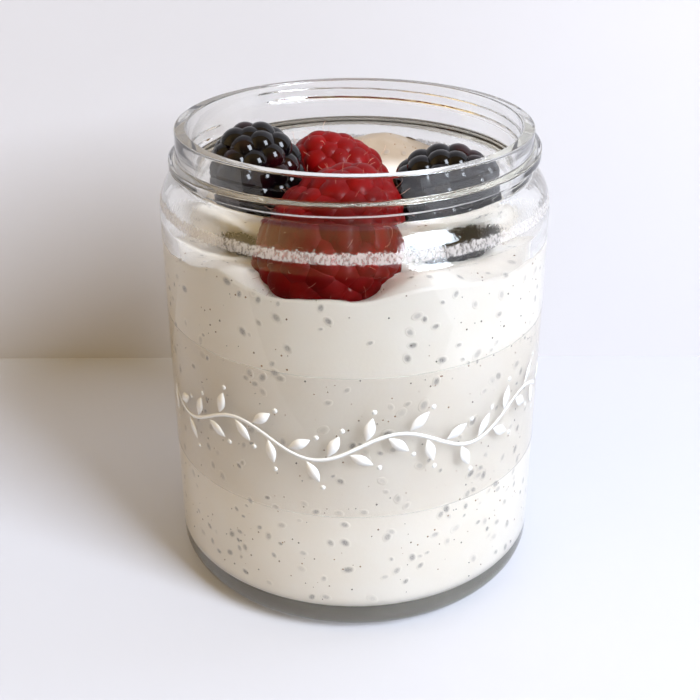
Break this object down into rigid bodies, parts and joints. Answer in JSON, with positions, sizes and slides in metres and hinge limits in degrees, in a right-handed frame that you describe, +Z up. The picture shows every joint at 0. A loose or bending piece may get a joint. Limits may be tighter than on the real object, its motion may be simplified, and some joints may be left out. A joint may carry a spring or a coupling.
{
  "type": "jar of chia pudding",
  "caption": "Open straight-sided screw-neck glass jar of creamy chia seed pudding, topped with raspberries and dark berries, with a clear film band around the body.",
  "frame": {"origin": "centre of the jar's foot, on the surface that it stands on", "axes": "+Z up along the jar's axis, -Y towards the front, where the foremost raspberry leans on the glass, +X to the right seen from the front"},
  "size_m": [0.0734, 0.0734, 0.0897],
  "materials": {
    "jar_glass": "clear moulded glass, smooth, with a slightly hammered shoulder",
    "film": "clear satin film with a white print",
    "pudding": "moist cream with dark seeds",
    "raspberry": "juicy, softly shining",
    "dark_berry": "juicy, shining"
  },
  "bodies": {
    "root": {"jar": "jar_glass", "label_film": "film", "pudding": "pudding", "raspberry_front": "raspberry", "raspberry_back": "raspberry", "dark_berry_left": "dark_berry", "dark_berry_right": "dark_berry"}
  },
  "joints": []
}
